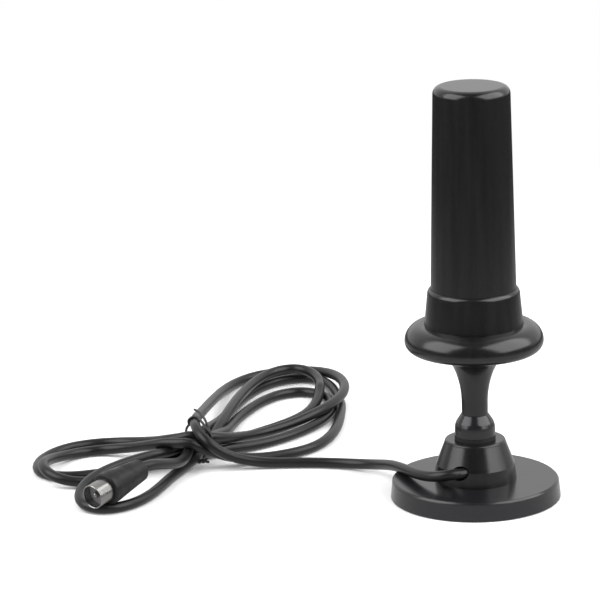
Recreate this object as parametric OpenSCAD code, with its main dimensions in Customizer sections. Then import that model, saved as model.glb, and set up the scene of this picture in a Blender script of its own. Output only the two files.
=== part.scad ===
// Indoor television antenna on a magnetic foot, with its captive lead and aerial plug.
// Origin: centre of the foot pad's underside. +Z is up. The lead leaves the hub towards -Y.

/* [Foot] */
// Radius of the foot cover at its lower edge
foot_r = 33; // [28:0.5:45]
// Height of the foot, from the pad's underside to the cover's top
foot_h = 7.6; // [7:0.1:12]
// How much the foot cover's side leans in
foot_draft = 0.7; // [0:0.1:1.5]
// Bevel round the foot cover's top edge
foot_bevel = 0.7; // [0.3:0.1:1.2]
// Wall of the foot cover
foot_wall = 1.6; // [1.2:0.1:2.4]
// Thickness of the foam pad
pad_t = 1.2; // [0.8:0.1:2]
// How far the pad stands below the cover's rim
pad_proud = 0.4; // [0.2:0.1:0.8]
// Thickness of the ring magnet
magnet_t = 2.1; // [1.8:0.1:3]
// Outer radius of the ring magnet
magnet_r = 27; // [22:0.5:27]
// Radius of the ring magnet's hole
magnet_hole_r = 15; // [14.5:0.5:18]

/* [Hub] */
// Radius of the hub where it stands on the foot
hub_r = 16; // [15:0.5:20]
// Height of the hub above the foot
hub_h = 15.9; // [14:0.5:26]
// Radius of the hub's top
hub_top_r = 11.8; // [10.5:0.1:13]
// Height of the hub's steep lower band
hub_band_h = 6.1; // [5:0.1:8]
// How much the lower band leans in
hub_band_draft = 0.8; // [0.2:0.1:1.5]
// Wall of the hub
hub_wall = 1.9; // [1.4:0.1:2.6]
// Radius of the circle of hub screws
screw_pitch_r = 10.6; // [10.2:0.1:11.2]
// Number of hub screws
screw_count = 3; // [2:1:4]
// Radius of the hub screws' shanks
screw_r = 1.4; // [1.2:0.1:1.6]

/* [Stem] */
// Radius of the neck's straight part
neck_r = 5.1; // [4.8:0.1:8]
// Height of the collar and its washer, between the hub and the neck
collar_h = 10.1; // [8:0.5:14]
// Radius of the collar's lower band
collar_r = 7.95; // [7:0.05:10]
// Thickness of the rubber washer below the collar
washer_t = 1.3; // [0.8:0.1:2]
// Height of the neck, from the collar to the ring's underside
neck_h = 25.6; // [18:0.1:40]
// How much the neck widens in its slender part
neck_swell = 6.4; // [3:0.1:7]
// How much the trumpet's lip adds to that at the ring
neck_lip = 8.2; // [5:0.1:9]
// Outer radius of the ring
ring_r = 26.8; // [24:0.1:32]
// Height of the ring
ring_h = 10.4; // [9:0.1:13]
// Radius of the hollow stem that ties the hub to the ring
tube_r = 3.1; // [2.9:0.1:3.6]
// Wall of the hollow stem
tube_wall = 0.7; // [0.5:0.1:0.8]

/* [Mast] */
// Radius of the sleeve's lower edge
sleeve_r = 19.05; // [18.5:0.05:22]
// Height of the sleeve
sleeve_h = 14.6; // [12:0.2:22]
// Radius of the mast cover where it leaves the sleeve
mast_r = 16.45; // [15.5:0.05:17]
// Height of the mast cover above the sleeve
mast_h = 78.7; // [55:0.1:110]
// Side draft of the mast cover, in degrees
mast_draft = 1.27; // [0.5:0.01:1.6]
// Radius of the mast cover's rounded top edge
mast_top_round = 3.1; // [1.5:0.1:5]
// Wall of the mast cover
mast_wall = 1.6; // [1.2:0.1:2.2]
// Thickness of the circuit board
board_t = 1.6; // [0.8:0.1:2]
// Width of the circuit board
board_w = 21; // [18:0.5:22]
// Number of bends in the meander element
meander_bends = 9; // [5:2:11]

/* [Lead and plug] */
// Diameter of the lead
cord_d = 4.2; // [3.6:0.1:5]
// Radius of the outlet in the hub
outlet_r = 2.8; // [2.6:0.1:3.4]
// Height of the outlet's centre
outlet_z = 13.4; // [12.5:0.1:14.5]
// Outer radius of the plug's metal shell
shell_r = 4.75; // [4.5:0.05:4.8]
// Length of shell that stands out of the plug's boot
shell_len = 7.5; // [7:0.5:13]
// Length of the plug's moulded boot
boot_len = 21; // [18:1:32]
// Radius of the boot at its front
boot_r = 6.4; // [5.8:0.1:6.4]
// Radius of the boot where the lead enters
boot_tail_r = 4.3; // [3:0.1:4.6]

/* [Hidden] */
$fn = 64;
// Colours as the photograph shows them
BLACK = "#26262a";
GLOSS = "#3a3a3e";
PVC = "#3c3c3e";
STEEL = "#a8a8a8";
// Side clearance between pieces that slip into each other
fit = 0.1;
// Clearance of a screw or tube in its hole
hole_play = 0.3;

// Foot, from the floor up
plate_z = pad_t + magnet_t;
plate_t = foot_h - foot_wall - plate_z;
foot_inner_r = foot_r - foot_wall;
inset_r = foot_inner_r - foot_draft - fit;

// Hub
hub_z = foot_h;
hub_top_z = hub_z + hub_h;
hub_band_z = hub_z + hub_band_h;
hub_band_r = hub_r - hub_band_draft;
hub_top_t = 2.4;
hub_round = 0.8;
hub_ceiling_z = hub_top_z - hub_top_t;
boss_r = 2.6;
boss_top_z = hub_z + 0.62 * hub_h;
screw_head_r = screw_r * 2;
screw_head_t = 1.6;
screw_depth = 6;
screw_turn = 125;

// Stem
stem_hole_r = tube_r + hole_play;
washer_z = hub_top_z;
collar_z = washer_z + washer_t;
neck_z = hub_top_z + collar_h;
ring_z = neck_z + neck_h;
ring_top_z = ring_z + ring_h;
ring_lower_round = 3.9;
ring_upper_round = ring_h - ring_lower_round;
neck_straight_h = 4.4;
pocket_r = 12.5;
pocket_z = ring_z + 3.4;
nut_t = 3;
nut_r = 6;
tube_low_z = hub_ceiling_z - nut_t - 1;
tube_top_z = pocket_z + nut_t + 1;

// Mast
sleeve_z = ring_top_z - 0.3;
sleeve_top_z = sleeve_z + sleeve_h;
sleeve_top_r = sleeve_r - 1.35;
sleeve_round = 1.8;
ledge_z = sleeve_z + 1.6;
ledge_t = 1.8;
seat_z = ledge_z + ledge_t;
ledge_inner_r = 13.4;
spigot_r = 16.6;
mast_top_z = sleeve_top_z + mast_h;
mast_foot_r = mast_r + (sleeve_top_z - seat_z) * tan(mast_draft);
mast_top_r = mast_r - (mast_h - mast_top_round) * tan(mast_draft);
holder_t = 3;
holder_r = mast_foot_r - mast_wall - fit;
board_y = cord_d / 2 + 0.3;
board_z = seat_z + 1;
board_top_z = mast_top_z - mast_wall - 5;
lead_top_z = seat_z + 12;
foil_t = 0.4;
foil_y = board_y + board_t;

// The outlet points 37 degrees away from -Y, because the lead is bent round as it comes out
outlet_turn = 37;
outlet_dir = [-sin(outlet_turn), -cos(outlet_turn), 0];
outlet_at = [0, -(hub_band_r + 0.05), outlet_z];
grip_back = 9.6;

// The plug's shell lies across the near loop, and the lead holds the boot's tail up
plug_heading = 258;
plug_tilt = 7.8;
plug_at = [-122.9, -84.35, 8.68];
boot_round = 0.9;
boot_ring_len = 3;
shell_wall = 0.45;
shell_neck_r = shell_r - 0.25;
shell_neck_bore = shell_neck_r - shell_wall;
slip = 0.02;
shell_grip = 6;
insulator_t = 3;
insulator_depth = shell_len - insulator_t - 0.9;
pin_r = 1.2;
pin_back = 1.2;

// Tied hank: the lobes are two leads high, and the tie lies in the waist's groove
lobe_h = 2 * cord_d + 0.2;
waist_h = 16;
waist_reach = 13.5;
tie_at = [-121.5, -1, 0];
tie_turn = -52;
tie_t = 0.9;
tie_w = 1.8;
tie_stub_r = 1.3;
tie_stub_len = 11;

// Way of the lead inside the mast, stem and hub
LEAD_INSIDE = [[0, 0, lead_top_z], [0, 0, 70], [0, 0, 55], [0, 0, 40], [0, 0, 26], [0, 0, 17.5],
    [0.8, -0.3, 15.5], [2.7, -1, 14], [4.9, -2, 13.5], [6.3, -4, 13.4], [6.6, -5.9, 13.4],
    [5.8, -7.6, 13.4], [3.6, -10.5, 13.4], [1.8, -12.9, 13.4], [0, -15.25, 13.4]];
// Way of the lead from the hub to the hank: over the foot's edge, then along the floor
LEAD_OUT = [[0, -15.25, 13.4], [-1.8, -17.6, 13.4], [-4.3, -19.4, 13.1], [-7, -19.4, 12.5],
    [-10.5, -17.6, 11.6], [-14.5, -14.6, 10.8], [-19, -11.5, 10.1], [-23.5, -9, 9.8], [-28, -6.5, 9.8],
    [-33, -3, 9.8], [-39, 2, 7.4], [-45, 7, 4.4], [-51, 10.5, 2.6], [-57, 11.5, 2.1], [-65, 9.6, 2.1],
    [-75, 5.6, 2.1], [-84, 1.6, 2.1], [-91.5, -2.2, 2.1]];
// Way of the near loop, from the tie round the front of the plug
NEAR_LOOP = [[-119.9, -24.1, 2.1], [-117.5, -34, 2.1], [-115.5, -44, 2.1], [-114, -54, 2.1],
    [-113.5, -63, 2.1], [-114.5, -70.5, 2.1], [-118, -77, 2.1], [-123.5, -80.5, 2.1],
    [-129.5, -80.5, 2.1], [-134.5, -77, 2.4], [-137.6, -71.5, 3.6],
    [-138.7, -68, 4.9], [-138.8, -64.9, 5.3]];
// Way of the lead from the plug's boot back to the tie
TAIL_END = plug_at - (shell_len + boot_len) * plug_dir();
LEAD_TAIL = [TAIL_END, TAIL_END - 4 * plug_dir(), [-114.5, -47, 11.2], [-114.3, -42.5, 9.6],
    [-114.4, -38.3, 8.4], [-114.2, -33, 7.4], [-114, -27, 6.8], [-115.5, -22.75, 6.5]];

// Direction in which the plug's nose points
function plug_dir() = [cos(plug_heading) * cos(plug_tilt), sin(plug_heading) * cos(plug_tilt), -sin(plug_tilt)];

function unit(v) = v / norm(v);

// Direction of a route at its point i
function route_dir(route, i) =
    unit(route[min(i + 1, len(route) - 1)] - route[max(i - 1, 0)]);

// Side vector of the ring at point i, turned as little as possible from the one before
function side_at(route, i) =
    i == 0 ? unit(cross(route_dir(route, 0), abs(route_dir(route, 0)[2]) > 0.9 ? [1, 0, 0] : [0, 0, 1]))
    : let (t = route_dir(route, i), s = side_at(route, i - 1)) unit(s - (s * t) * t);

// Round tube swept along a route as one closed solid
module swept_tube(route, r, sides = 10) {
    n = len(route);
    rings = [for (i = [0:n - 1])
        let (t = route_dir(route, i), u = side_at(route, i), w = cross(t, u))
        for (k = [0:sides - 1]) route[i] + r * (cos(360 * k / sides) * u + sin(360 * k / sides) * w)];
    walls = [for (i = [0:n - 2]) for (k = [0:sides - 1])
        let (a = i * sides + k, b = i * sides + (k + 1) % sides)
        for (f = [[a, b, b + sides], [a, b + sides, a + sides]]) f];
    start = [for (k = [sides - 1:-1:0]) k];
    end = [for (k = [0:sides - 1]) (n - 1) * sides + k];
    polyhedron(points = rings, faces = concat([start], walls, [end]), convexity = 6);
}

// Copies its children round the circle of hub screws, turned so that the lead passes between two
module at_screws() {
    for (i = [0:screw_count - 1])
        rotate([0, 0, screw_turn + i * 360 / screw_count]) translate([screw_pitch_r, 0, 0]) children();
}

// Puts its children on the plug's axis: z runs back from the tip of the shell
module at_plug() {
    translate(plug_at) rotate([0, 0, plug_heading]) rotate([0, -90 + plug_tilt, 0]) children();
}

// Foam pad glued under the magnet
module base_pad() {
    color("#1c1c1c") cylinder(r = inset_r, h = pad_t);
}

module ring_magnet() {
    color("#4a4a4c") translate([0, 0, pad_t]) difference() {
        cylinder(r = magnet_r, h = magnet_t);
        translate([0, 0, -1]) cylinder(r = magnet_hole_r, h = magnet_t + 2);
    }
}

// Steel weight plate under the cover's top
module weight_plate() {
    color(STEEL) translate([0, 0, plate_z]) difference() {
        cylinder(r = inset_r, h = plate_t);
        at_screws() translate([0, 0, -1]) cylinder(r = screw_r + hole_play, h = plate_t + 2, $fn = 24);
    }
}

// Moulded cover: a shallow cup, open below, with a bevelled top edge
module base_cover() {
    top_r = foot_r - foot_draft;
    outline = [[0, foot_h], [top_r - foot_bevel, foot_h], [top_r, foot_h - foot_bevel],
        [foot_r, pad_proud], [foot_inner_r, pad_proud], [foot_inner_r - foot_draft, foot_h - foot_wall],
        [0, foot_h - foot_wall]];
    color(GLOSS) difference() {
        rotate_extrude($fn = 128) polygon(outline);
        at_screws() cylinder(r = screw_r + hole_play, h = foot_h + 1, $fn = 24);
    }
}

// Pan-head screws that pull the hub, cover and weight plate together
module base_screws() {
    color(STEEL) at_screws() {
        translate([0, 0, plate_z - screw_head_t]) difference() {
            cylinder(r = screw_head_r, h = screw_head_t, $fn = 24);
            translate([-screw_r, -0.3, -1]) cube([2 * screw_r, 0.6, 1.7]);
            translate([-0.3, -screw_r, -1]) cube([0.6, 2 * screw_r, 1.7]);
        }
        translate([0, 0, plate_z - 0.1]) cylinder(r = screw_r, h = hub_z + screw_depth - plate_z + 0.1, $fn = 24);
    }
}

// Section of the hub's outside, and of its hollow at the hub's wall further in
module hub_section() {
    union() {
        polygon([[0, hub_z], [hub_r, hub_z], [hub_band_r, hub_band_z], [hub_top_r, hub_top_z - hub_round],
            [hub_top_r - hub_round, hub_top_z], [0, hub_top_z]]);
        translate([hub_top_r - hub_round, hub_top_z - hub_round]) circle(r = hub_round, $fn = 32);
    }
}

module hub_hollow_section() {
    polygon([[0, hub_z - 1], [hub_r - hub_wall, hub_z - 1], [hub_band_r - hub_wall, hub_band_z],
        [hub_top_r - hub_wall + 0.6, hub_ceiling_z], [0, hub_ceiling_z]]);
}

// Conical hub, hollow below, with screw bosses and the lead's outlet
module hub() {
    color(BLACK) difference() {
        intersection() {
            rotate_extrude($fn = 96) hub_section();
            union() {
                difference() {
                    cylinder(r = hub_r + 1, h = hub_top_z + 1);
                    rotate_extrude($fn = 96) hub_hollow_section();
                }
                at_screws() translate([0, 0, hub_z]) cylinder(r = boss_r, h = boss_top_z - hub_z, $fn = 32);
            }
        }
        at_screws() translate([0, 0, hub_z - 1]) cylinder(r = screw_r + 0.05, h = screw_depth + 2, $fn = 24);
        translate([0, 0, hub_ceiling_z - 1]) cylinder(r = stem_hole_r, h = hub_top_t + 2, $fn = 48);
        outlet_cut();
    }
}

// Slanting bore of the outlet
module outlet_cut() {
    translate(outlet_at) rotate([0, 90, -90 - outlet_turn])
        translate([0, 0, -8]) cylinder(r = outlet_r, h = 15, $fn = 32);
}

module hub_washer() {
    color("#18181a") translate([0, 0, washer_z]) difference() {
        cylinder(r = collar_r, h = washer_t);
        translate([0, 0, -1]) cylinder(r = stem_hole_r, h = washer_t + 2, $fn = 48);
    }
}

// Turned collar: a straight band, a shoulder and a cone up to the neck
module collar() {
    h = neck_z - collar_z;
    outline = [[stem_hole_r, collar_z], [collar_r, collar_z], [collar_r - 0.1, collar_z + 0.35 * h],
        [collar_r - 0.2, collar_z + 0.48 * h], [collar_r - 0.65, collar_z + 0.64 * h],
        [neck_r + 0.2, neck_z], [stem_hole_r, neck_z]];
    color(BLACK) rotate_extrude() polygon(outline);
}

// Hollow threaded stem that carries the lead and holds hub and ring together
module stem_tube() {
    color(STEEL) translate([0, 0, tube_low_z]) difference() {
        cylinder(r = tube_r, h = tube_top_z - tube_low_z, $fn = 48);
        translate([0, 0, -1]) cylinder(r = tube_r - tube_wall, h = tube_top_z - tube_low_z + 2, $fn = 48);
    }
}

module stem_nut() {
    difference() {
        cylinder(r = nut_r, h = nut_t, $fn = 6);
        translate([0, 0, -1]) cylinder(r = tube_r + 0.05, h = nut_t + 2, $fn = 48);
    }
}

module lower_nut() {
    color(STEEL) translate([0, 0, hub_ceiling_z - nut_t]) stem_nut();
}

module upper_nut() {
    color(STEEL) translate([0, 0, pocket_z]) stem_nut();
}

// Outline of the neck's trumpet: a gentle swell that turns out into a wide lip below the ring
function neck_flare(n) =
    [for (i = [0:n]) let (t = i / n)
        [neck_r + neck_swell * pow(t, 2) + neck_lip * pow(t, 10),
            neck_z + neck_straight_h + (neck_h - neck_straight_h) * t]];

// Section of the ring: its lower edge is rounded tighter than its upper one
module ring_section() {
    mid_z = ring_z + ring_lower_round;
    low_c = [ring_r - ring_lower_round, mid_z];
    high_c = [ring_r - ring_upper_round, mid_z];
    union() {
        intersection() {
            translate(low_c) circle(r = ring_lower_round, $fn = 64);
            translate([0, ring_z - 1]) square([ring_r + 1, ring_lower_round + 1]);
        }
        intersection() {
            translate(high_c) circle(r = ring_upper_round, $fn = 64);
            translate([0, mid_z]) square([ring_r + 1, ring_upper_round + 1]);
        }
        translate([pocket_r, ring_z]) square([low_c[0] - pocket_r, ring_lower_round]);
        translate([pocket_r, mid_z]) square([high_c[0] - pocket_r, ring_upper_round]);
    }
}

// One moulding: trumpet neck, ring, spigot for the sleeve and pocket for the upper nut
module pedestal() {
    flare = neck_flare(18);
    color(BLACK) rotate_extrude($fn = 96) difference() {
        union() {
            polygon(concat([[0, neck_z], [neck_r, neck_z]], flare,
                [[pocket_r + 1, ring_z], [pocket_r + 1, pocket_z], [0, pocket_z]]));
            ring_section();
            translate([spigot_r - 2.4, ring_top_z - 1]) square([2.4, ledge_z - ring_top_z + 1 - fit]);
        }
        square([stem_hole_r, pocket_z + 1]);
        translate([0, pocket_z]) square([pocket_r, ring_h + 10]);
        translate([spigot_r, ring_top_z - 0.3]) square([sleeve_r + 0.1 - spigot_r, 1]);
    }
}

// Sleeve that caps the ring and grips the mast cover's foot on an inner ledge
module sleeve() {
    inner_r = mast_r + fit;
    color(BLACK) rotate_extrude($fn = 96) difference() {
        union() {
            polygon([[0, sleeve_z], [sleeve_r, sleeve_z], [sleeve_top_r + 0.1, sleeve_top_z - sleeve_round],
                [sleeve_top_r - sleeve_round, sleeve_top_z - sleeve_round], [0, sleeve_top_z - sleeve_round]]);
            polygon([[0, sleeve_top_z - sleeve_round - 0.1], [sleeve_top_r, sleeve_top_z - sleeve_round - 0.1],
                [sleeve_top_r, sleeve_top_z - sleeve_round], [sleeve_top_r - sleeve_round, sleeve_top_z],
                [0, sleeve_top_z]]);
            translate([sleeve_top_r - sleeve_round, sleeve_top_z - sleeve_round])
                circle(r = sleeve_round, $fn = 48);
        }
        polygon([[0, seat_z], [mast_foot_r + fit, seat_z], [inner_r, sleeve_top_z + 1], [0, sleeve_top_z + 1]]);
        translate([0, ledge_z - 1]) square([ledge_inner_r, 5]);
        translate([0, sleeve_z - 1]) square([spigot_r + fit, ledge_z - sleeve_z + 1]);
    }
}

// Disc that plugs the mast cover's foot and holds the board upright in a slot
module board_holder() {
    color("#e0e0dc") translate([0, 0, seat_z]) difference() {
        cylinder(r = holder_r, h = holder_t);
        translate([0, 0, -1]) cylinder(r = cord_d / 2 + hole_play, h = holder_t + 2, $fn = 32);
        translate([-board_w / 2 - fit, board_y - fit, board_z - seat_z])
            cube([board_w + 2 * fit, board_t + foil_t + 2 * fit, holder_t]);
    }
}

module antenna_board() {
    color("#2c5a3a") translate([-board_w / 2, board_y, board_z])
        cube([board_w, board_t, board_top_z - board_z]);
}

// Upper element: a copper meander on the back of the board
module upper_element() {
    low = board_z + 0.36 * (board_top_z - board_z);
    high = board_top_z - 2;
    line = 1.6;
    step = (high - low - line) / (meander_bends - 1);
    reach = board_w - 3;
    color("#b87333") translate([0, foil_y, 0]) union() {
        for (i = [0:meander_bends - 1])
            translate([-reach / 2, 0, low + i * step]) cube([reach, foil_t, line]);
        for (i = [0:meander_bends - 2])
            translate([i % 2 == 0 ? reach / 2 - line : -reach / 2, 0, low + i * step])
                cube([line, foil_t, step + line]);
    }
}

// Lower element: the ground half of the dipole
module lower_element() {
    low = board_z + holder_t + 1;
    high = board_z + 0.33 * (board_top_z - board_z);
    color("#b87333") translate([-board_w / 2 + 1.5, foil_y, low]) cube([board_w - 3, foil_t, high - low]);
}

// Matching transformer on the front of the board, where the lead is soldered
module balun() {
    color("#555555") translate([-4, board_y - 5.2, lead_top_z]) difference() {
        cube([8, 5.2, 7]);
        for (x = [2.4, 5.6]) translate([x, 2.6, -1]) cylinder(r = 0.7, h = 9, $fn = 24);
    }
}

// Section of the mast cover's outside; inset moves it in by a wall
module mast_section(inset) {
    round_r = mast_top_round - inset;
    top_z = mast_top_z - inset;
    rim_r = mast_top_r - inset;
    union() {
        polygon([[0, seat_z], [mast_foot_r - inset, seat_z], [rim_r, top_z - round_r],
            [rim_r - round_r, top_z], [0, top_z]]);
        translate([rim_r - round_r, top_z - round_r]) circle(r = round_r, $fn = 64);
    }
}

// Mast cover: a tall tapered cup, closed at the top
module radome() {
    color(BLACK) difference() {
        rotate_extrude($fn = 96) mast_section(0);
        rotate_extrude($fn = 96) mast_section(mast_wall);
        translate([0, 0, seat_z - 1]) cylinder(r = mast_foot_r - mast_wall, h = 1.5);
    }
}

module lead_inner() {
    color(PVC) swept_tube(LEAD_INSIDE, cord_d / 2, 10);
}

// Grip ring crimped on the lead behind the outlet
module lead_grip() {
    back = outlet_at - grip_back * outlet_dir;
    color(STEEL) translate(back) rotate([0, 90, -90 - outlet_turn]) difference() {
        cylinder(r = outlet_r + 0.15, h = 1.6, $fn = 32);
        translate([0, 0, -1]) cylinder(r = cord_d / 2 + 0.15, h = 4, $fn = 32);
    }
}

module cord_lead() {
    color(PVC) swept_tube(LEAD_OUT, cord_d / 2, 10);
}

// Outline with two round ends, tangent to both circles
module round_ended(a, ra, b, rb) {
    d = norm(b - a);
    heading = atan2(b[1] - a[1], b[0] - a[0]);
    lean = acos((ra - rb) / d);
    left = [cos(heading + lean), sin(heading + lean)];
    right = [cos(heading - lean), sin(heading - lean)];
    translate(a) circle(r = ra, $fn = 48);
    translate(b) circle(r = rb, $fn = 48);
    polygon([a + ra * left, a + ra * right, b + rb * right, b + rb * left]);
}

// Puts its children on the tied hank's waist: x runs across the bundle
module at_tie() {
    translate(tie_at) rotate([0, 0, tie_turn]) children();
}

// Band round the waist's section: side walls, a strip over the top and one below
module tie_band(reach, height, width) {
    translate([-reach, -width / 2, 0]) cube([2 * reach, width, height]);
}

// The tie's twisted ends, lying across the foot of the waist
module tie_stub(r) {
    translate([waist_reach + tie_t, 0, tie_stub_r + 0.05]) rotate([90, 0, 0])
        cylinder(r = r, h = tie_stub_len, center = true, $fn = 24);
}

// Outer shape of the tied hank: far lobes, left lobes and the tied waist with the lead over it
module cord_hank() {
    color(PVC) difference() {
        union() {
            linear_extrude(lobe_h) {
                round_ended([-119, 3], 9, [-133, 94], 27);
                round_ended([-111, 8], 9, [-112, 77], 18);
                round_ended([-92, 22], 12, [-107, 74], 15);
                round_ended([-106, -8], 7, [-92, 11], 6);
                round_ended([-108, -8], 8, [-97, -5], 6);
                round_ended([-124, -4], 8, [-156.5, -21.5], 23);
                round_ended([-129, -17], 6, [-156.5, -39], 23);
                round_ended([-130.5, -21], 3, [-138.8, -62], 2.6);
            }
            linear_extrude(waist_h) round_ended([-121.5, -14], 10, [-123, 14], 12);
        }
        at_tie() difference() {
            translate([0, 0, -1]) tie_band(waist_reach + 9, waist_h + 2, tie_w);
            translate([0, 0, tie_t]) tie_band(waist_reach, waist_h - 2 * tie_t, tie_w + 2);
        }
        at_tie() tie_stub(tie_stub_r + fit);
    }
}

module cord_near_loop() {
    color(PVC) swept_tube(NEAR_LOOP, cord_d / 2, 10);
}

module cord_tail() {
    color(PVC) swept_tube(LEAD_TAIL, cord_d / 2, 10);
}

// Twist tie: one turn round the waist, its ends twisted into a stub at the side
module cord_tie() {
    color("#202020") at_tie() union() {
        difference() {
            tie_band(waist_reach + tie_t, waist_h, tie_w);
            translate([0, 0, tie_t]) tie_band(waist_reach, waist_h - 2 * tie_t, tie_w + 2);
        }
        tie_stub(tie_stub_r);
    }
}

// Moulded boot: round-edged front, a short straight band, then a long taper to the lead
module plug_boot() {
    z0 = shell_len;
    bore = cord_d / 2 + slip;
    color("#2a2a2a") at_plug() rotate_extrude() difference() {
        union() {
            polygon([[0, z0], [boot_r - boot_round, z0], [boot_r, z0 + boot_round], [boot_r, z0 + boot_ring_len],
                [boot_tail_r + 0.1, z0 + boot_len - boot_round], [boot_tail_r - boot_round, z0 + boot_len],
                [0, z0 + boot_len]]);
            translate([boot_r - boot_round, z0 + boot_round]) circle(r = boot_round, $fn = 32);
            translate([boot_tail_r - boot_round, z0 + boot_len - boot_round]) circle(r = boot_round, $fn = 32);
        }
        translate([0, z0 - 1]) square([bore, boot_len + 2]);
        polygon([[0, z0 - 1], [shell_neck_r + slip, z0 - 1], [shell_neck_r + slip, z0 + shell_grip],
            [shell_neck_bore, z0 + shell_grip], [bore, z0 + shell_grip + 2], [0, z0 + shell_grip + 2]]);
    }
}

// Drawn metal shell, open at the front and necked down where the boot grips it
module plug_shell() {
    bore = shell_r - shell_wall;
    color("#c8c8c8") at_plug() rotate_extrude() polygon([[bore, 0.2], [shell_r - 0.2, 0], [shell_r, 0.3],
        [shell_r, shell_len], [shell_neck_r, shell_len], [shell_neck_r, shell_len + shell_grip],
        [shell_neck_bore, shell_len + shell_grip], [shell_neck_bore, shell_len - shell_wall],
        [bore, shell_len - shell_wall - 0.3]]);
}

module plug_insulator() {
    color("#1a1a1a") at_plug() difference() {
        translate([0, 0, insulator_depth]) cylinder(r = shell_r - shell_wall - slip, h = insulator_t);
        cylinder(r = pin_r + slip, h = 20, $fn = 32);
    }
}

module plug_pin() {
    color("#d8c890") at_plug() translate([0, 0, pin_back]) union() {
        translate([0, 0, pin_r]) cylinder(r = pin_r, h = insulator_depth + insulator_t + 2, $fn = 32);
        translate([0, 0, pin_r]) sphere(r = pin_r, $fn = 32);
    }
}

base_pad();
ring_magnet();
weight_plate();
base_cover();
base_screws();
hub();
hub_washer();
collar();
stem_tube();
lower_nut();
upper_nut();
pedestal();
sleeve();
board_holder();
antenna_board();
upper_element();
lower_element();
balun();
radome();
lead_inner();
lead_grip();
cord_lead();
cord_hank();
cord_near_loop();
cord_tail();
cord_tie();
plug_boot();
plug_shell();
plug_insulator();
plug_pin();
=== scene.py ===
import math
import bpy
import numpy as np
from mathutils import Matrix, Vector


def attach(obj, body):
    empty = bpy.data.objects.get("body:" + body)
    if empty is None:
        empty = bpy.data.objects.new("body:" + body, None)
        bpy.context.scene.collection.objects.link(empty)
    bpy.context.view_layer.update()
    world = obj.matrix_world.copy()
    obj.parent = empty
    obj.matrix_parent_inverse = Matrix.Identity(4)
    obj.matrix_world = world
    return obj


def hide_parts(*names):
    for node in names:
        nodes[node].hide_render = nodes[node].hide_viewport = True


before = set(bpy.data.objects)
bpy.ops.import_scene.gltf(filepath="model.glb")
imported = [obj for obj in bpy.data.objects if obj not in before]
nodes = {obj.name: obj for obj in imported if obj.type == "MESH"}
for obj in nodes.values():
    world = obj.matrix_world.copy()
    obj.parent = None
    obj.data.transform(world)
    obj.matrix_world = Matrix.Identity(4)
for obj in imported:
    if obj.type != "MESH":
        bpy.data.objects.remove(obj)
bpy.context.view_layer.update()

scene = bpy.context.scene
MM = 0.001

# Camera
# A long lens in front of the antenna, a little above it and to its right, tilted and rolled slightly as
# the photograph was. Its place was fitted to the foot, the ring, the mast and the plug's shell.
CAMERA_PLACE = Vector((554.4, -1188.9, 435.5)) * MM
CAMERA_HEADING = math.radians(27.905)
CAMERA_DOWN = math.radians(15.162)
CAMERA_ROLL = math.radians(-1.377)
CAMERA_LENS = 212.7

lens = bpy.data.cameras.new("long_lens")
lens.lens = CAMERA_LENS
lens.sensor_width = 36
lens.sensor_fit = "HORIZONTAL"
lens.clip_start = 0.05
lens.clip_end = 20
camera = bpy.data.objects.new("camera", lens)
turn = (Matrix.Rotation(CAMERA_HEADING, 4, "Z") @ Matrix.Rotation(math.pi / 2 - CAMERA_DOWN, 4, "X")
        @ Matrix.Rotation(CAMERA_ROLL, 4, "Z"))
camera.matrix_world = Matrix.Translation(CAMERA_PLACE) @ turn
scene.collection.objects.link(camera)
scene.camera = camera


# Lead
# A limp 4.2 mm coaxial lead in soft PVC, 1.74 m long. It leaves the hub, crosses the foot, and is folded
# into far, left and near loops that a twist tie holds at one waist; its end goes back to the plug. The
# points are millimetres in the order of the lead, each a place of its centre.
CORD_D = 4.2
LEAD_OUT = [(0, -15.25, 13.4), (-1.3, -16.8, 13.4), (-2.9, -17.9, 13.3), (-4.7, -18.6, 13),
            (-6.7, -18.8, 12.6), (-8.7, -18.5, 12.1), (-10.9, -17.5, 11.5), (-14.7, -14.9, 10.8),
            (-19, -11.8, 10.1), (-23.5, -9, 9.8), (-28, -6.5, 9.8), (-33, -3, 9.8), (-39, 2, 7.4),
            (-45, 7, 4.4), (-51, 10.5, 2.6), (-57, 11.5, 2.1), (-65, 9.6, 2.1), (-75, 5.6, 2.1),
            (-84, 1.6, 2.1), (-91.5, -2.2, 2.1)]
OVER_WAIST = [(-98, -3.8, 2.4), (-102, -7, 3.6), (-105, -11.3, 5.6), (-107.4, -15, 8.2),
              (-110.2, -16.8, 10.8), (-113.4, -15.9, 13), (-117.3, -12.2, 14.3), (-121.4, -6, 14.5),
              (-126.2, 3.6, 13.7), (-130.6, 14, 12.4)]
FAR_LOOP_1 = [(-136.5, 26, 9.5), (-145, 46.5, 6), (-151, 65.5, 4), (-156, 84.5, 2.1), (-156, 98, 2.1),
              (-154, 106, 2.1), (-150, 112, 2.1), (-145, 116, 2.1), (-139, 119, 2.1), (-131.5, 118, 3.5),
              (-122, 112, 5.5), (-111.5, 103.5, 6.5), (-104, 93, 6.5), (-99.5, 80.5, 6.5), (-98, 66, 6.5),
              (-99, 51.5, 6), (-105, 40.5, 3.5), (-110.5, 30, 3.5), (-113, 16.5, 5), (-113.8, 3, 8.5),
              (-115.3, -7.5, 10.5)]
LEFT_LOOP_1 = [(-121, -11, 10.8), (-129, -11.5, 9.3), (-140, -6.5, 6), (-154.5, -1.5, 3), (-165, -4, 2.1),
               (-172.5, -11, 2.1), (-176.5, -20, 2.1), (-177, -31, 2.1), (-175, -40.5, 2.1),
               (-170.5, -48, 2.1), (-164, -52, 2.1), (-158, -51, 2.1), (-151, -46.5, 2.1),
               (-145.5, -40.5, 2.1), (-141, -33, 2.1), (-136, -25.5, 2.1), (-130.5, -18.5, 2.1),
               (-125, -12, 2.1)]
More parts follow.
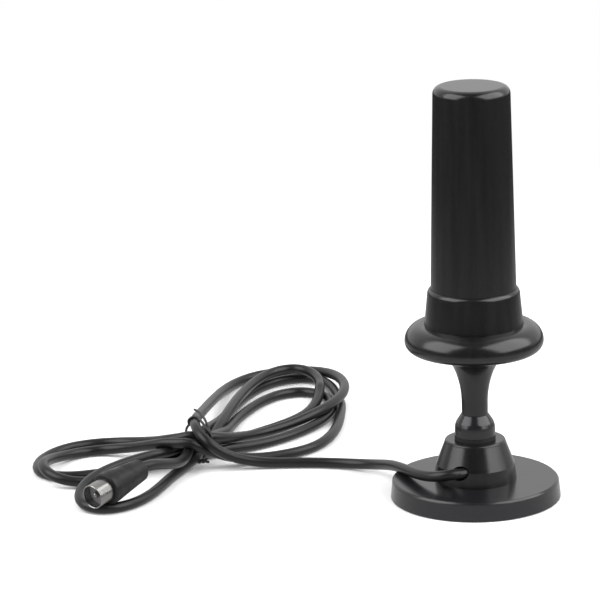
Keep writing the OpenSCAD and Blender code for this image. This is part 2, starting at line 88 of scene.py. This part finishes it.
FAR_LOOP_2 = [(-119, -3.5, 2.1), (-115.5, 5, 2.1), (-107.5, 14.5, 2.1), (-101.5, 29, 2.1), (-98, 46, 2.1),
              (-97.5, 61.5, 2.1), (-99.5, 73.5, 2.1), (-104.5, 83, 2.1), (-112.5, 90, 2.1),
              (-119.5, 93.8, 2.1), (-126.5, 93.2, 2.1), (-131.3, 87, 2.1), (-132.5, 73, 2.1),
              (-131.5, 53, 2.1), (-128, 32.5, 3), (-122.5, 10.5, 5.5), (-120.5, -3, 7.3),
              (-120.6, -11, 5)]
NEAR_LOOP = [(-119.9, -24.1, 2.1), (-117.5, -34, 2.1), (-115.5, -44, 2.1), (-114, -54, 2.1),
             (-113.5, -63, 2.1), (-114.5, -70.5, 2.1), (-118, -77, 2.1), (-123.5, -80.5, 2.1),
             (-129.5, -80.5, 2.1), (-134.5, -77, 2.4), (-137.6, -71.5, 3.6), (-138.7, -68, 4.9),
             (-138.8, -64.9, 5.3)]
NEAR_BACK = [(-139, -60, 6.5), (-138.5, -49, 6.5), (-136.5, -39, 6.5), (-134, -29.5, 6), (-130, -21, 6.3),
             (-126.5, -13.5, 6.6), (-124.7, -8.6, 5)]
FAR_LOOP_3 = [(-123.2, -3.8, 3.4), (-121.8, 0, 3.2), (-119.8, 3.6, 3.2), (-117.5, 9.5, 3.3),
              (-117.5, 24, 2.1), (-113, 35, 2.1), (-109, 47.5, 2.1), (-107.5, 58, 2.1), (-108, 69.5, 2.1),
              (-111.5, 83, 2.1), (-117, 96, 4), (-123, 103.5, 6.3), (-130, 108.8, 7.6),
              (-136.2, 109.2, 7.6), (-141.2, 104.5, 7), (-143.3, 94.5, 6.5), (-141, 77.5, 6.5),
              (-137, 57.5, 6.5), (-131.5, 39, 6.5), (-127.5, 20, 5)]
LEFT_LOOP_2 = [(-125.5, 7.5, 3.5), (-126.5, -1, 2.1), (-128, -13.5, 2.1), (-132.5, -23.5, 2.1),
               (-136.5, -34, 2.1), (-139, -44, 2.1), (-142.5, -52, 2.1), (-149, -56.5, 2.1),
               (-155, -59, 4), (-162, -57.5, 6.3), (-166.5, -51, 6.3), (-168.5, -42, 4.5),
               (-169.5, -33, 3), (-169, -21.5, 2.1), (-164, -13.5, 2.1), (-153.5, -11, 3),
               (-139.5, -15.5, 6), (-130.5, -18.5, 8), (-123.3, -18.2, 8.8), (-119.8, -16.2, 8.3)]
FAR_LOOP_4 = [(-116.3, -14.1, 7), (-112.9, -12, 5.3), (-109.5, -9.8, 3.9), (-106.6, -7.1, 2.7),
              (-101.5, -0.6, 2.1), (-92.5, 8, 2.1), (-85.5, 16.5, 2.1), (-83, 28, 2.1), (-85, 43.5, 2.1),
              (-89.5, 58, 2.1), (-97, 73, 2.1), (-106, 88.5, 2.1), (-115, 102, 2.1), (-123.5, 111.5, 2.1),
              (-130.5, 114.5, 2.1), (-136, 112, 2.1), (-140, 105.5, 2.1), (-143, 95, 2.1),
              (-143, 80.5, 2.1), (-140, 61, 2.1), (-134.5, 40, 3), (-127.5, 18, 4.5), (-122.5, -0.5, 7.4),
              (-121, -12, 7.6)]
LEAD_TAIL = [(-117, -19, 6.3), (-115, -25, 5.9), (-114.2, -31, 6.8), (-114.4, -38.3, 8.4),
             (-114.3, -42.5, 9.6), (-114.5, -47, 11.2), (-116.25, -52.9, 13.1), (-117.07, -56.73, 12.55),
             (-117.9, -60.6, 12.02)]
ROUTE = (LEAD_OUT + OVER_WAIST + FAR_LOOP_1 + LEFT_LOOP_1 + FAR_LOOP_2 + NEAR_LOOP + NEAR_BACK + FAR_LOOP_3
         + LEFT_LOOP_2 + FAR_LOOP_4 + LEAD_TAIL)
WAIST = np.array((-121.5, -1.0))
WAIST_LIFT = 1.2
WAIST_SPREAD = 12.0

# How the lead is settled: spacings and widths in millimetres, shares of a step for the rest. It is stiff
# over one and over three points, and its ends are held in the hub's outlet and in the boot.
STEP_SETTLING = 3.0
STEP_DRAWN = 1.5
CURVE_STEPS = 16
SETTLING_ROUNDS = 400
ROUNDS_PER_SEARCH = 20
STIFFNESS = ((1, 1.0), (3, 0.2))
PULL_TO_ROUTE = 0.01
CONTACT_PASSES = 3
CONTACT_PUSH = 1.2
OWN_STRETCH = 3.5 * CORD_D
SEARCH_REACH = 2.2 * CORD_D
HELD_AT_HUB = 3
HELD_AT_BOOT = 4
TINY = 1e-9


def evenly(points, step):
    """Points every step along the line through the given ones."""
    runs = np.linalg.norm(np.diff(points, axis=0), axis=1)
    along = np.concatenate(([0.0], np.cumsum(runs)))
    stops = np.linspace(0.0, along[-1], int(round(along[-1] / step)) + 1)
    return np.stack([np.interp(stops, along, points[:, k]) for k in range(3)], axis=1)


def smooth_route(points, step):
    """Centripetal Catmull-Rom curve through the points, as even points."""
    p = np.array(points, float)
    p = np.vstack([2 * p[0] - p[1], p, 2 * p[-1] - p[-2]])
    knots = np.concatenate(([0.0], np.cumsum(np.linalg.norm(np.diff(p, axis=0), axis=1) ** 0.5)))
    curve = []
    for i in range(1, len(p) - 2):
        t0, t1, t2, t3 = knots[i - 1:i + 3]
        for t in np.linspace(t1, t2, CURVE_STEPS, endpoint=False):
            a1 = (t1 - t) / (t1 - t0) * p[i - 1] + (t - t0) / (t1 - t0) * p[i]
            a2 = (t2 - t) / (t2 - t1) * p[i] + (t - t1) / (t2 - t1) * p[i + 1]
            a3 = (t3 - t) / (t3 - t2) * p[i + 1] + (t - t2) / (t3 - t2) * p[i + 2]
            b1 = (t2 - t) / (t2 - t0) * a1 + (t - t0) / (t2 - t0) * a2
            b2 = (t3 - t) / (t3 - t1) * a2 + (t - t1) / (t3 - t1) * a3
            curve.append((t2 - t) / (t2 - t1) * b1 + (t - t1) / (t2 - t1) * b2)
    return evenly(np.array(curve + [p[-2]]), step)


def lead_floor(points):
    """Lowest height of the lead's centre: on the floor, and just above the tie's wire at the waist."""
    off = np.linalg.norm(points[:, :2] - WAIST, axis=1) / WAIST_SPREAD
    return CORD_D / 2 + WAIST_LIFT * np.exp(-off ** 4)


def straighten(x, s):
    """Move of each point that evens out the bend over two strides of s points on either side of it."""
    move = np.zeros_like(x)
    move[2 * s:-2 * s] = (-x[:-4 * s] + 4 * x[s:-3 * s] - 6 * x[2 * s:-2 * s] + 4 * x[3 * s:-s]
                          - x[4 * s:]) / 16
    return move


def push_apart(x, first, second):
    """Move of each point that takes it halfway out of the other runs that it has sunk into."""
    apart = x[second] - x[first]
    reach = np.linalg.norm(apart, axis=1)
    hit = reach < CORD_D
    i, j = first[hit], second[hit]
    push = 0.5 * (CORD_D - reach[hit])[:, None] * apart[hit] / (reach[hit][:, None] + TINY)
    shift = np.zeros_like(x)
    count = np.zeros((len(x), 1))
    np.add.at(shift, i, -push)
    np.add.at(shift, j, push)
    np.add.at(count, i, 1)
    np.add.at(count, j, 1)
    return shift / np.maximum(count, 1)


def settle(points):
    """Keeps the lead smooth and off the floor, and pushes its runs apart until they lie on each other."""
    x = points.copy()
    gap = int(math.ceil(OWN_STRETCH / np.linalg.norm(points[1] - points[0])))
    first, second = np.triu_indices(len(x), k=gap)
    moving = np.ones((len(x), 1))
    moving[:HELD_AT_HUB] = 0
    moving[-HELD_AT_BOOT:] = 0
    for turn_no in range(SETTLING_ROUNDS):
        if turn_no % ROUNDS_PER_SEARCH == 0:
            close = np.linalg.norm(x[second] - x[first], axis=1) < SEARCH_REACH
            close_first, close_second = first[close], second[close]
        for stride, share in STIFFNESS:
            x += moving * share * straighten(x, stride)
        x += moving * PULL_TO_ROUTE * (points - x)
        for _ in range(CONTACT_PASSES):
            x += moving * CONTACT_PUSH * push_apart(x, close_first, close_second)
            x[:, 2] = np.maximum(x[:, 2], lead_floor(x))
    return x


def tube_curve(name, runs, radius, sides=16):
    """Round tube along each run of points, given in millimetres, as one curve object in metres."""
    curve = bpy.data.curves.new(name, "CURVE")
    curve.dimensions = "3D"
    curve.bevel_depth = radius * MM
    curve.bevel_resolution = sides // 2 - 2
    curve.use_fill_caps = True
    for points in runs:
        spline = curve.splines.new("POLY")
        spline.points.add(len(points) - 1)
        spline.points.foreach_set("co", np.hstack([points * MM, np.ones((len(points), 1))]).ravel())
        spline.use_smooth = True
    piece = bpy.data.objects.new(name, curve)
    scene.collection.objects.link(piece)
    return piece


def linear(hex_colour):
    """Linear RGBA from an sRGB hex colour."""
    parts = [int(hex_colour[i:i + 2], 16) / 255 for i in (1, 3, 5)]
    return [c / 12.92 if c <= 0.04045 else ((c + 0.055) / 1.055) ** 2.4 for c in parts] + [1.0]


def add(tree, kind, inputs=None, **settings):
    """Adds a node with its settings; an input is a value or the socket that feeds it."""
    node = tree.nodes.new(kind)
    for key, value in settings.items():
        setattr(node, key, value)
    for key, value in (inputs or {}).items():
        if isinstance(value, bpy.types.NodeSocket):
            tree.links.new(value, node.inputs[key])
        else:
            node.inputs[key].default_value = value
    return node


def new_material(name):
    """Empty material with its node tree and output."""
    material = bpy.data.materials.new(name)
    material.use_nodes = True
    material.node_tree.nodes.clear()
    return material, material.node_tree, add(material.node_tree, "ShaderNodeOutputMaterial")


# Soft PVC sheath, extruded: satin, a charcoal black that the lamps draw in long lines, with a faint wave of
# the extruder every 9 mm and handling marks half a millimetre wide.
cord_pvc, tree, out = new_material("extruded_soft_pvc")
place = add(tree, "ShaderNodeTexCoord")
wave = add(tree, "ShaderNodeTexNoise",
           {"Vector": place.outputs["Object"], "Scale": 1 / 0.009, "Detail": 2.0})
marks = add(tree, "ShaderNodeTexNoise",
            {"Vector": place.outputs["Object"], "Scale": 1 / 0.0005, "Detail": 3.0})
tone = add(tree, "ShaderNodeValToRGB", {"Fac": wave.outputs["Fac"]})
tone.color_ramp.elements[0].position = 0.3
tone.color_ramp.elements[0].color = linear("#131314")
tone.color_ramp.elements[1].position = 0.7
tone.color_ramp.elements[1].color = linear("#1b1b1c")
sheen = add(tree, "ShaderNodeMapRange", {"Value": marks.outputs["Fac"], "To Min": 0.28, "To Max": 0.38})
bump = add(tree, "ShaderNodeBump", {"Height": marks.outputs["Fac"], "Strength": 0.12, "Distance": 0.00004})
pvc = add(tree, "ShaderNodeBsdfPrincipled",
          {"Base Color": tone.outputs["Color"], "Roughness": sheen.outputs["Result"],
           "Normal": bump.outputs["Normal"], "IOR": 1.4})
tree.links.new(pvc.outputs["BSDF"], out.inputs["Surface"])

lead_points = smooth_route(settle(smooth_route(ROUTE, STEP_SETTLING)), STEP_DRAWN)
lead = tube_curve("lead", [lead_points], CORD_D / 2)
lead.data.materials.append(cord_pvc)
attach(lead, "root")
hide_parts("cord_lead", "cord_hank", "cord_near_loop", "cord_tail")


# Twist tie
# A black coated wire 1.05 mm thick: one turn drawn tight round the hank's waist, a looser one over the lead
# on top, an end that stands up behind it, and a twist that closes the tie at the foot of the waist.
WIRE_D = 1.05
TIE_ACROSS = np.array((0.616, -0.788, 0.0))
TIE_ALONG = np.array((0.788, 0.616, 0.0))

# The tight turn starts as an oval across the waist, the loose turn and the standing end follow chosen
# places, and the two wires of the twist open near its tip. All lengths are millimetres.
TIGHT_CENTRE = np.array((-122.0, 0.5, 6.0))
TIGHT_REACH = 14.0
TIGHT_HEIGHT = 8.5
TIGHT_POINTS = 72
TIGHT_ROUNDS = 260
TIGHT_PULL = 0.45
LOOSE_TURN = [(-130.4, 4.3, 5), (-130.4, 3, 8.5), (-129, 0.8, 11.2), (-126.5, -0.5, 14),
              (-123.5, -1.8, 16.2), (-119.6, -4.5, 17.2), (-115.7, -7.9, 16.6), (-113.6, -8.8, 14.6),
              (-112.9, -8.2, 12), (-113.5, -6.1, 8)]
STANDING_END = [(-127.7, 5.6, 18), (-123.9, 2.9, 18), (-119.2, -1.9, 17.6), (-115.4, -6.3, 16.6),
                (-113.1, -8.6, 14.8), (-111.9, -9.2, 12.2), (-111.7, -8.5, 8)]
TWIST_AT = np.array((-116.8, -13.0, 2.9))
TWIST_LENGTH = 9.0
TWIST_PITCH = 3.2
TWIST_POINTS = 60
TWIST_OPENS_AT = 3.0
TWIST_OPENS_BY = 0.9
WIRE_STEP = 0.8
WAIST_REACH = 30.0
WIRE_PASSES = 3


def clear_of_lead(wire):
    """Moves a run of the tie's wire out of the lead and off the floor."""
    near = lead_points[np.linalg.norm(lead_points[:, :2] - WAIST, axis=1) < WAIST_REACH]
    touching = (CORD_D + WIRE_D) / 2
    for _ in range(WIRE_PASSES):
        apart = wire[:, None] - near[None]
        reach = np.linalg.norm(apart, axis=2)
        closest = reach.argmin(axis=1)
        rows = np.arange(len(wire))
        gap = reach[rows, closest]
        push = np.maximum(touching - gap, 0)[:, None] * apart[rows, closest] / (gap[:, None] + TINY)
        wire = wire + push
        wire[:, 2] = np.maximum(wire[:, 2], WIRE_D / 2)
    return wire


def drawn_tight():
    """The closed turn of the tie's wire, shrunk until it lies on the lead and on the floor."""
    angles = np.linspace(0, 2 * math.pi, TIGHT_POINTS, endpoint=False)
    ring = (TIGHT_CENTRE + np.outer(TIGHT_REACH * np.cos(angles), TIE_ACROSS)
            + np.outer(TIGHT_HEIGHT * np.sin(angles), (0, 0, 1)))
    for _ in range(TIGHT_ROUNDS):
        ring += TIGHT_PULL * ((np.roll(ring, 1, axis=0) + np.roll(ring, -1, axis=0)) / 2 - ring)
        ring = clear_of_lead(ring)
    return np.vstack([ring, ring[:1]])


def twisted_end(side):
    """One of the two wires of the twisted end, which opens a little towards its tip."""
    along = np.linspace(-TWIST_LENGTH / 2, TWIST_LENGTH / 2, TWIST_POINTS)
    phase = 2 * math.pi * along / TWIST_PITCH + side * math.pi
    spread = WIRE_D / 2 * (1 + TWIST_OPENS_BY * np.clip(along - TWIST_OPENS_AT, 0, None))
    return (TWIST_AT + np.outer(along, TIE_ALONG) + np.outer(spread * np.cos(phase), TIE_ACROSS)
            + np.outer(WIRE_D / 2 * np.sin(phase), (0, 0, 1)))


# Plastic coat of the wire: black and half dull, rubbed in spots of 0.6 mm.
tie_coat, tree, out = new_material("coated_tie_wire")
coat = add(tree, "ShaderNodeBsdfPrincipled",
           {"Base Color": linear("#1b1b1c"), "Roughness": 0.42, "IOR": 1.5})
place = add(tree, "ShaderNodeTexCoord")
rub = add(tree, "ShaderNodeTexNoise", {"Vector": place.outputs["Object"], "Scale": 1 / 0.0006})
bump = add(tree, "ShaderNodeBump", {"Height": rub.outputs["Fac"], "Strength": 0.2, "Distance": 0.00005})
tree.links.new(bump.outputs["Normal"], coat.inputs["Normal"])
tree.links.new(coat.outputs["BSDF"], out.inputs["Surface"])

tie_runs = [drawn_tight()]
tie_runs += [clear_of_lead(smooth_route(run, WIRE_STEP)) for run in (LOOSE_TURN, STANDING_END)]
tie_runs += [twisted_end(side) for side in (0, 1)]
tie = tube_curve("twist_tie", tie_runs, WIRE_D / 2, sides=10)
tie.data.materials.append(tie_coat)
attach(tie, "root")
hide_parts("cord_tie")


# Plug
# A standard aerial plug: a drawn brass shell with nickel plating, open at the front, round a moulded
# insulator and a centre pin, in a long tapered boot moulded over the lead.
def dress(material, *names):
    """Gives CAD nodes their finish."""
    for name in names:
        mesh = nodes[name].data
        mesh.materials.clear()
        mesh.materials.append(material)


# Nickel plate: a hazy grey mirror, in patches of 1.2 mm.
nickel, tree, out = new_material("nickel_plated_brass")
place = add(tree, "ShaderNodeTexCoord")
hazy = add(tree, "ShaderNodeTexNoise",
           {"Vector": place.outputs["Object"], "Scale": 1 / 0.0012, "Detail": 4.0})
haze = add(tree, "ShaderNodeMapRange", {"Value": hazy.outputs["Fac"], "To Min": 0.22, "To Max": 0.36})
plate = add(tree, "ShaderNodeBsdfPrincipled",
            {"Base Color": linear("#8e8d8b"), "Metallic": 1.0, "Roughness": haze.outputs["Result"]})
tree.links.new(plate.outputs["BSDF"], out.inputs["Surface"])
dress(nickel, "plug_shell", "plug_pin")

# Moulded PVC of the boot: dull black with 0.6 mm grain, rubbed smoother in patches of 4 mm.
boot_pvc, tree, out = new_material("moulded_boot_pvc")
place = add(tree, "ShaderNodeTexCoord")
grain = add(tree, "ShaderNodeTexNoise",
            {"Vector": place.outputs["Object"], "Scale": 1 / 0.0006, "Detail": 3.0})
rubbed = add(tree, "ShaderNodeTexNoise",
             {"Vector": place.outputs["Object"], "Scale": 1 / 0.004, "Detail": 2.0})
bump = add(tree, "ShaderNodeBump", {"Height": grain.outputs["Fac"], "Strength": 0.25, "Distance": 0.00006})
sheen = add(tree, "ShaderNodeMapRange", {"Value": rubbed.outputs["Fac"], "From Min": 0.35, "From Max": 0.65,
                                         "To Min": 0.34, "To Max": 0.6})
boot = add(tree, "ShaderNodeBsdfPrincipled",
           {"Base Color": linear("#101011"), "Roughness": sheen.outputs["Result"],
            "Normal": bump.outputs["Normal"], "IOR": 1.4})
tree.links.new(boot.outputs["BSDF"], out.inputs["Surface"])
dress(boot_pvc, "plug_boot")

# Insulator of moulded polythene: plain grey, half dull.
polythene, tree, out = new_material("grey_polythene")
grey = add(tree, "ShaderNodeBsdfPrincipled", {"Base Color": linear("#6a6a6c"), "Roughness": 0.45})
tree.links.new(grey.outputs["BSDF"], out.inputs["Surface"])
dress(polythene, "plug_insulator")


# Foot
# A shallow gloss cup of injection-moulded ABS, polished in the mould, over a steel weight plate and a ring
# magnet, with a thin rubber pad below. The turned collar above the hub has the same gloss.

# Polished ABS: black, mirrors the hub at a low angle. It has a faint wave of 12 mm, dulled spots of 0.8 mm,
# and edges worn round by 0.6 mm that catch the light.
gloss_abs, tree, out = new_material("polished_moulded_abs")
place = add(tree, "ShaderNodeTexCoord")
ripple = add(tree, "ShaderNodeTexNoise",
             {"Vector": place.outputs["Object"], "Scale": 1 / 0.012, "Detail": 1.0})
dust = add(tree, "ShaderNodeTexNoise",
           {"Vector": place.outputs["Object"], "Scale": 1 / 0.0008, "Detail": 4.0})
worn = add(tree, "ShaderNodeBevel", {"Radius": 0.0006}, samples=6)
bump = add(tree, "ShaderNodeBump", {"Height": ripple.outputs["Fac"], "Strength": 0.1, "Distance": 0.0002,
                                    "Normal": worn.outputs["Normal"]})
polish = add(tree, "ShaderNodeMapRange", {"Value": dust.outputs["Fac"], "To Min": 0.17, "To Max": 0.25})
cover = add(tree, "ShaderNodeBsdfPrincipled",
            {"Base Color": linear("#19191b"), "Roughness": polish.outputs["Result"],
             "Normal": bump.outputs["Normal"], "IOR": 1.5})
tree.links.new(cover.outputs["BSDF"], out.inputs["Surface"])
dress(gloss_abs, "base_cover", "collar")

# Moulded rubber: matt black with half-millimetre pores.
rubber, tree, out = new_material("moulded_rubber")
place = add(tree, "ShaderNodeTexCoord")
pores = add(tree, "ShaderNodeTexNoise",
            {"Vector": place.outputs["Object"], "Scale": 1 / 0.0005, "Detail": 2.0})
bump = add(tree, "ShaderNodeBump", {"Height": pores.outputs["Fac"], "Strength": 0.5, "Distance": 0.0001})
pad = add(tree, "ShaderNodeBsdfPrincipled",
          {"Base Color": linear("#161617"), "Roughness": 0.72, "Normal": bump.outputs["Normal"]})
tree.links.new(pad.outputs["BSDF"], out.inputs["Surface"])
dress(rubber, "base_pad", "hub_washer")

# Zinc-plated steel: bright grey with 2 mm spangle.
zinc, tree, out = new_material("zinc_plated_steel")
place = add(tree, "ShaderNodeTexCoord")
spangle = add(tree, "ShaderNodeTexVoronoi", {"Vector": place.outputs["Object"], "Scale": 1 / 0.002})
shade = add(tree, "ShaderNodeMapRange",
            {"Value": spangle.outputs["Distance"], "To Min": 0.25, "To Max": 0.45})
steel = add(tree, "ShaderNodeBsdfPrincipled",
            {"Base Color": linear("#a9abad"), "Metallic": 1.0, "Roughness": shade.outputs["Result"]})
tree.links.new(steel.outputs["BSDF"], out.inputs["Surface"])
dress(zinc, "weight_plate", "base_screws", "stem_tube", "lower_nut", "upper_nut", "lead_grip")

# Sintered ferrite: dark grey and stony, with 0.4 mm grit.
ferrite, tree, out = new_material("sintered_ferrite")
place = add(tree, "ShaderNodeTexCoord")
grit = add(tree, "ShaderNodeTexNoise",
           {"Vector": place.outputs["Object"], "Scale": 1 / 0.0004, "Detail": 4.0})
bump = add(tree, "ShaderNodeBump", {"Height": grit.outputs["Fac"], "Strength": 0.4, "Distance": 0.00008})
magnet = add(tree, "ShaderNodeBsdfPrincipled",
             {"Base Color": linear("#3f4043"), "Roughness": 0.6, "Normal": bump.outputs["Normal"]})
tree.links.new(magnet.outputs["BSDF"], out.inputs["Surface"])
dress(ferrite, "ring_magnet", "balun")


# Hub, pedestal, sleeve and mast cover
# All injection-moulded in black ABS, and stacked on the threaded stem that clamps them. The mould finish is
# satin with a 0.4 mm grain, and the plastic flowed upwards, which left faint upright streaks 3 mm wide.
satin_abs, tree, out = new_material("satin_moulded_abs")
place = add(tree, "ShaderNodeTexCoord")
stretch = add(tree, "ShaderNodeMapping", {"Vector": place.outputs["Object"], "Scale": (1, 1, 0.04)})
flow = add(tree, "ShaderNodeTexNoise",
           {"Vector": stretch.outputs["Vector"], "Scale": 1 / 0.003, "Detail": 2.0})
grain = add(tree, "ShaderNodeTexNoise",
            {"Vector": place.outputs["Object"], "Scale": 1 / 0.0004, "Detail": 2.0})
tone = add(tree, "ShaderNodeValToRGB", {"Fac": flow.outputs["Fac"]})
tone.color_ramp.elements[0].position = 0.35
tone.color_ramp.elements[0].color = linear("#101011")
tone.color_ramp.elements[1].position = 0.7
tone.color_ramp.elements[1].color = linear("#171718")
sheen = add(tree, "ShaderNodeMapRange", {"Value": grain.outputs["Fac"], "To Min": 0.19, "To Max": 0.27})
bump = add(tree, "ShaderNodeBump", {"Height": grain.outputs["Fac"], "Strength": 0.1, "Distance": 0.00002})
moulded = add(tree, "ShaderNodeBsdfPrincipled",
              {"Base Color": tone.outputs["Color"], "Roughness": sheen.outputs["Result"],
               "Normal": bump.outputs["Normal"], "IOR": 1.5})
tree.links.new(moulded.outputs["BSDF"], out.inputs["Surface"])
dress(satin_abs, "hub", "pedestal", "sleeve", "radome")


# Inside the mast
# A white disc plugs the foot of the mast cover and holds a glass-epoxy board with two etched copper
# elements. The lead comes up through the stem to the balun.

# Undyed ABS: milky white, half gloss.
natural_abs, tree, out = new_material("natural_moulded_abs")
plain = add(tree, "ShaderNodeBsdfPrincipled", {"Base Color": linear("#dcdcd6"), "Roughness": 0.4})
tree.links.new(plain.outputs["BSDF"], out.inputs["Surface"])
dress(natural_abs, "board_holder")

# Solder mask over glass-epoxy laminate: glossy green.
laminate, tree, out = new_material("solder_masked_laminate")
mask = add(tree, "ShaderNodeBsdfPrincipled", {"Base Color": linear("#1f4a2e"), "Roughness": 0.3})
tree.links.new(mask.outputs["BSDF"], out.inputs["Surface"])
dress(laminate, "antenna_board")

# Etched copper: a dull red mirror.
foil, tree, out = new_material("etched_copper_foil")
copper = add(tree, "ShaderNodeBsdfPrincipled",
             {"Base Color": linear("#c27a4a"), "Metallic": 1.0, "Roughness": 0.35})
tree.links.new(copper.outputs["BSDF"], out.inputs["Surface"])
dress(foil, "upper_element", "lower_element")

dress(cord_pvc, "lead_inner")


# Studio
# White paper that runs to the horizon and a wide soft box on either side of the camera. Gloss and satin
# faces see a painted reflection on the paper: for them alone it glows as a pool of light round the foot that
# fades half a metre away, not lit by the lamps; the far paper is overexposed, and the paper near the antenna
# keeps its shadow.
FLOOR_REACH = 8.0

# The lamps stand to the left and right of the camera, whose azimuth is 28 degrees, and look at the middle of
# the object. The backdrop lies behind the antenna as the camera sees it.
LAMPS_AIM = Vector((-0.04, 0, 0.05))
CAMERA_SIDE = 28
BACKDROP_WAY = (-0.47, 0.88, 0.0)

floor_mesh = bpy.data.meshes.new("studio_floor")
corners = [(-FLOOR_REACH, -FLOOR_REACH, 0), (FLOOR_REACH, -FLOOR_REACH, 0), (FLOOR_REACH, FLOOR_REACH, 0),
           (-FLOOR_REACH, FLOOR_REACH, 0)]
floor_mesh.from_pydata(corners, [], [(0, 1, 2, 3)])
floor = bpy.data.objects.new("studio_floor", floor_mesh)
scene.collection.objects.link(floor)
paper, tree, out = new_material("studio_paper")
ray = add(tree, "ShaderNodeLightPath")
place = add(tree, "ShaderNodeTexCoord")
away = add(tree, "ShaderNodeVectorMath", {0: place.outputs["Object"]}, operation="LENGTH")
# Painted reflection: glossy rays see the paper glow, at 0.8 near the foot down to 0.06 from 0.62 m out,
# whatever the lamps do.
painted_reflection_level = add(tree, "ShaderNodeMapRange", {"Value": away.outputs["Value"], "From Min": 0.1, "From Max": 0.62,
                                        "To Min": 0.8, "To Max": 0.06}, interpolation_type="SMOOTHSTEP")
far = add(tree, "ShaderNodeMapRange", {"Value": away.outputs["Value"], "From Min": 0.28, "From Max": 0.6,
                                       "To Min": 0.0, "To Max": 1.0}, interpolation_type="SMOOTHSTEP")
far_seen = add(tree, "ShaderNodeMath", {0: far.outputs["Result"], 1: ray.outputs["Is Camera Ray"]},
               operation="MULTIPLY")
matt = add(tree, "ShaderNodeBsdfDiffuse", {"Color": linear("#ffffff")})
burnt = add(tree, "ShaderNodeEmission", {"Strength": 1.0})
painted_reflection_glow = add(tree, "ShaderNodeEmission", {"Strength": painted_reflection_level.outputs["Result"]})
sheet = add(tree, "ShaderNodeMixShader", {0: far_seen.outputs["Value"], 1: matt.outputs["BSDF"],
                                          2: burnt.outputs["Emission"]})
mix = add(tree, "ShaderNodeMixShader", {0: ray.outputs["Is Glossy Ray"], 1: sheet.outputs["Shader"],
                                        2: painted_reflection_glow.outputs["Emission"]})
tree.links.new(mix.outputs["Shader"], out.inputs["Surface"])
floor_mesh.materials.append(paper)


def soft_box(name, azimuth, elevation, distance, width, height, watts):
    """Area lamp that looks at the antenna, sizes in metres; azimuth 0 stands before it, 90 on its right."""
    lamp = bpy.data.lights.new(name, "AREA")
    lamp.shape = "RECTANGLE"
    lamp.size = width
    lamp.size_y = height
    lamp.energy = watts
    piece = bpy.data.objects.new(name, lamp)
    a, e = math.radians(azimuth), math.radians(elevation)
    towards = Vector((math.sin(a) * math.cos(e), -math.cos(a) * math.cos(e), math.sin(e)))
    piece.location = LAMPS_AIM + distance * towards
    piece.rotation_euler = towards.to_track_quat("Z", "Y").to_euler()
    scene.collection.objects.link(piece)


soft_box("left_box", CAMERA_SIDE - 71, elevation=39, distance=1.4, width=1.3, height=1.5, watts=22)
soft_box("right_box", CAMERA_SIDE + 72, elevation=39, distance=1.4, width=1.8, height=1.5, watts=31)

# The room is white to the camera and even to dull faces; shiny faces see it dark in front of the antenna
# and white behind it.
world = bpy.data.worlds.new("studio_room")
scene.world = world
world.use_nodes = True
tree = world.node_tree
tree.nodes.clear()
out = add(tree, "ShaderNodeOutputWorld")
ray = add(tree, "ShaderNodeLightPath")
way = add(tree, "ShaderNodeTexCoord")
behind = add(tree, "ShaderNodeVectorMath", {0: way.outputs["Generated"], 1: BACKDROP_WAY},
             operation="DOT_PRODUCT")
room = add(tree, "ShaderNodeMapRange", {"Value": behind.outputs["Value"], "From Min": -0.2, "From Max": 0.7,
                                        "To Min": 0.06, "To Max": 1.0}, interpolation_type="SMOOTHSTEP")
backdrop = add(tree, "ShaderNodeBackground", {"Color": (1, 1, 1, 1), "Strength": 1.0})
fill = add(tree, "ShaderNodeBackground", {"Color": (1, 1, 1, 1), "Strength": 0.55})
mirrored = add(tree, "ShaderNodeBackground", {"Color": (1, 1, 1, 1), "Strength": room.outputs["Result"]})
plain_mix = add(tree, "ShaderNodeMixShader",
                {0: ray.outputs["Is Camera Ray"], 1: fill.outputs["Background"],
                 2: backdrop.outputs["Background"]})
gloss_mix = add(tree, "ShaderNodeMixShader",
                {0: ray.outputs["Is Glossy Ray"], 1: plain_mix.outputs["Shader"],
                 2: mirrored.outputs["Background"]})
tree.links.new(gloss_mix.outputs["Shader"], out.inputs["Surface"])
scene.view_settings.view_transform = "Standard"
